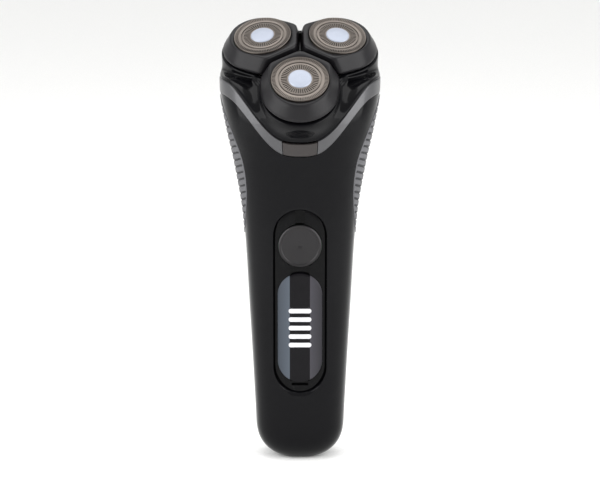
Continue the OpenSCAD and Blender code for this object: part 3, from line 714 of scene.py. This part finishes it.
def crowned_plate(name, width, length, centre, top, depth, mat, edge=0.3, rings=10, steps=32):
    half, straight = width / 2, (length - width) / 2
    levels = [(0.0, -depth), (0.0, -edge), (edge * 0.3, -edge * 0.3), (edge, 0.0)]
    levels += [(edge + (half - edge - 0.02) * (i + 1) / rings, 0.0) for i in range(rings)]
    points, n = [], 2 * steps
    for inset, drop in levels:
        for i in range(n):
            a = math.pi * (i % steps) / (steps - 1) + (math.pi if i >= steps else 0)
            x = (half - inset) * math.cos(a)
            y = (half - inset) * math.sin(a) + (straight if i < steps else -straight)
            crown = x * x / (2 * CROWN_R) if drop > -depth else 0.0
            points.append(panel_place @ Vector((x, y + centre, top + drop - crown)))
    faces = []
    for k in range(len(levels) - 1):
        a, b = k * n, (k + 1) * n
        faces += [(a + i, a + (i + 1) % n, b + (i + 1) % n, b + i) for i in range(n)]
    faces.append(tuple(range(n)))
    faces.append(tuple((len(levels) - 1) * n + i for i in reversed(range(n))))
    return mesh_object(name, points, faces, mat, smooth_angle=40)


panel = crowned_plate("recessed_panel", 20.5, 72.5, PANEL_MIDDLE, 0.35, 1.95, panel_abs)
button_place = panel_place @ Matrix.Translation((0, BUTTON_Y, 0))
window_place = panel_place @ Matrix.Translation((0, WINDOW_Y, 0))
cut_away(panel, [
    oblong_prism(17.0, 17.01, [(0, -6), (0, 0.05), (0.35, 0.4), (0.35, 4)], button_place),
    oblong_prism(17.5, 43.8, [(0, -6), (0, 0.0), (0.3, 0.3), (0.3, 4)], window_place),
    box_tool((-3.6, 13, -1.4), (3.6, 21, 4), panel_place),
    box_tool((-1.9, 34, -1.4), (1.9, 42, 4), panel_place),
    box_tool((-3.2, -29.0, -1.4), (3.2, -27, 4), panel_place),
])
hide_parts("front_panel")
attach(panel, "body")
print("panel", len(panel.data.polygons))

# %% [markdown]
# ## Smoked window
# The window is one moulded piece with a near-black middle and lighter blue-grey margins. The lighter
# margins are painted reflection of the studio lights, with crisp edges about 4 mm from the middle. A colour
# ramp across its width draws them, so that no second piece is needed. Five slots let the light guide's
# bars through.

# %% Smoked window
PAINTED_REFLECTION_SPAN, BAR_STEP = 0.01, 3.4  # the ramp runs 10 mm to each side, and the bars are 3.4 mm apart
tree = smoked.node_tree
place = add_node(tree, "ShaderNodeTexCoord").outputs["Object"]
across = add_node(tree, "ShaderNodeSeparateXYZ", {0: place}).outputs["X"]
share = add_node(tree, "ShaderNodeMapRange",
                 {"Value": across, "From Min": -PAINTED_REFLECTION_SPAN, "From Max": PAINTED_REFLECTION_SPAN})
# Painted reflection: lighter blue-grey margins against a near-black middle, with crisp edges
painted_reflection_ramp = add_node(tree, "ShaderNodeValToRGB", {0: share.outputs["Result"]})
first, last = painted_reflection_ramp.color_ramp.elements
first.position, first.color = 0.1, linear("#3a3f46")
last.position, last.color = 0.9, linear("#2a292d")
for spot, colour in [(0.3, "#454b53"), (0.305, "#070609"), (0.69, "#070609"), (0.695, "#38373c")]:
    painted_reflection_ramp.color_ramp.elements.new(spot).color = linear(colour)
tree.links.new(painted_reflection_ramp.outputs["Color"], tree.nodes["Principled BSDF"].inputs["Base Color"])
window = crowned_plate("smoked_window", 17.3, 43.6, WINDOW_Y, 0.42, 2.5, smoked)
quarter_turn = Matrix.Rotation(math.radians(90), 4, "Z")
cut_away(window, [
    oblong_prism(1.9, 8.85, [(0, -6), (0, 4)],
                 panel_place @ Matrix.Translation((0, WINDOW_Y + BAR_STEP * i, 0)) @ quarter_turn)
    for i in range(-2, 3)
])
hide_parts("display_window")
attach(window, "body")
print("window", len(window.data.polygons))

# %% [markdown]
# ## Power button
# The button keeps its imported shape, with a chamfered rim. Its face is turned metal: fine rings round its
# middle, from a sine of the distance to the button's centre. A lathe's feed is too fine to show, so the
# rings are drawn 0.35 mm apart. They bend the highlight into a soft cone, as spun metal does.

# %% Button finish
RING_PITCH, RING_DEPTH = 0.35 * MM, 0.00005
spun = finish("spun_gunmetal_button", "#2c2b2c", 0.32, 0.04, grain_mm=0.2, bump=0.03, metallic=0.9, coat=0.1)
tree = spun.node_tree
button_centre = (panel_place @ Vector((0, BUTTON_Y, 0))) * MM
place = add_node(tree, "ShaderNodeTexCoord").outputs["Object"]
offset = add_node(tree, "ShaderNodeVectorMath", {0: place, 1: tuple(button_centre)}, operation="SUBTRACT")
radius = add_node(tree, "ShaderNodeVectorMath", {0: offset.outputs["Vector"]}, operation="LENGTH")
rings = add_node(tree, "ShaderNodeMath",
                 {0: radius.outputs["Value"], 1: 2 * math.pi / RING_PITCH}, operation="MULTIPLY")
wave = add_node(tree, "ShaderNodeMath", {0: rings.outputs["Value"]}, operation="SINE")
turned = add_node(tree, "ShaderNodeBump",
                  {"Height": wave.outputs["Value"], "Strength": 0.12, "Distance": RING_DEPTH})
tree.links.new(turned.outputs["Normal"], tree.nodes["Principled BSDF"].inputs["Normal"])
give(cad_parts["power_button"], spun)
print("button at", tuple(round(v, 4) for v in button_centre))

# %% [markdown]
# ## Floor, light and camera
# A pale seamless floor that sweeps up far behind the shaver, a white surround that lights it evenly, a
# weak soft light above, and a large panel at each side in front. The panels give the broad soft
# reflections that show the form of a black gloss part. The camera is a little above the shaver, with a
# long lens, so that the handle's sides stay nearly parallel.

# %% Floor
SWEEP_FROM, SWEEP_R, SWEEP_TOP, FLOOR_DROP = 2.2, 0.6, 3.6, 0.0002
floor_mesh = bpy.data.meshes.new("floor_sheet")
work = bmesh.new()
profile = [(-3.0, 0.0), (SWEEP_FROM, 0.0)]
profile += [(SWEEP_FROM + SWEEP_R * sine(a), SWEEP_R - SWEEP_R * cosine(a)) for a in range(10, 91, 10)]
profile.append((SWEEP_FROM + SWEEP_R, SWEEP_TOP))
rows = [[work.verts.new((x, y, z - FLOOR_DROP)) for x in (-4, 4)] for y, z in profile]
for a, b in zip(rows, rows[1:]):
    work.faces.new((a[0], a[1], b[1], b[0]))
work.to_mesh(floor_mesh)
work.free()
floor = bpy.data.objects.new("floor_sheet", floor_mesh)
bpy.context.scene.collection.objects.link(floor)
floor_mesh.shade_smooth()
floor_mesh.materials.append(finish("pale_paper_sweep", "#f4f4f3", 0.9, 0.03, grain_mm=1.0, bump=0.02))

# %% Lights


def soft_light(name, where, size, watts, aim=(0, 0, 0.09)):
    data = bpy.data.lights.new(name, "AREA")
    data.shape, data.size, data.size_y, data.energy = "RECTANGLE", size[0], size[1], watts
    lamp = bpy.data.objects.new(name, data)
    lamp.location = where
    lamp.rotation_euler = (Vector(aim) - Vector(where)).to_track_quat("-Z", "Y").to_euler()
    bpy.context.scene.collection.objects.link(lamp)
    return lamp


soft_light("top_softbox", (0, 0.1, 0.95), (0.7, 0.5), 3)
soft_light("left_panel", (-0.36, -0.22, 0.26), (0.42, 0.5), 2.4, (0, 0, 0.26))
soft_light("right_panel", (0.36, -0.22, 0.26), (0.42, 0.5), 2.4, (0, 0, 0.26))
world = bpy.data.worlds.new("studio")
world.use_nodes = True
world.node_tree.nodes["Background"].inputs["Color"].default_value = linear("#ffffff")
world.node_tree.nodes["Background"].inputs["Strength"].default_value = 1.0
bpy.context.scene.world = world
bpy.context.scene.view_settings.view_transform = "Standard"

# %% Camera
DISTANCE, ELEVATION, VIEW_WIDTH, SENSOR = 0.88, 12, 0.2326, 36
camera_data = bpy.data.cameras.new("camera")
camera = bpy.data.objects.new("camera", camera_data)
bpy.context.scene.collection.objects.link(camera)
aim = Vector((0, -0.002, 0.0862))
camera.location = aim + DISTANCE * Vector((0, -cosine(ELEVATION), sine(ELEVATION)))
camera.rotation_euler = (aim - camera.location).to_track_quat("-Z", "Y").to_euler()
camera_data.sensor_width, camera_data.lens = SENSOR, SENSOR * DISTANCE / VIEW_WIDTH
bpy.context.scene.camera = camera
print("camera", tuple(round(v, 3) for v in camera.location))
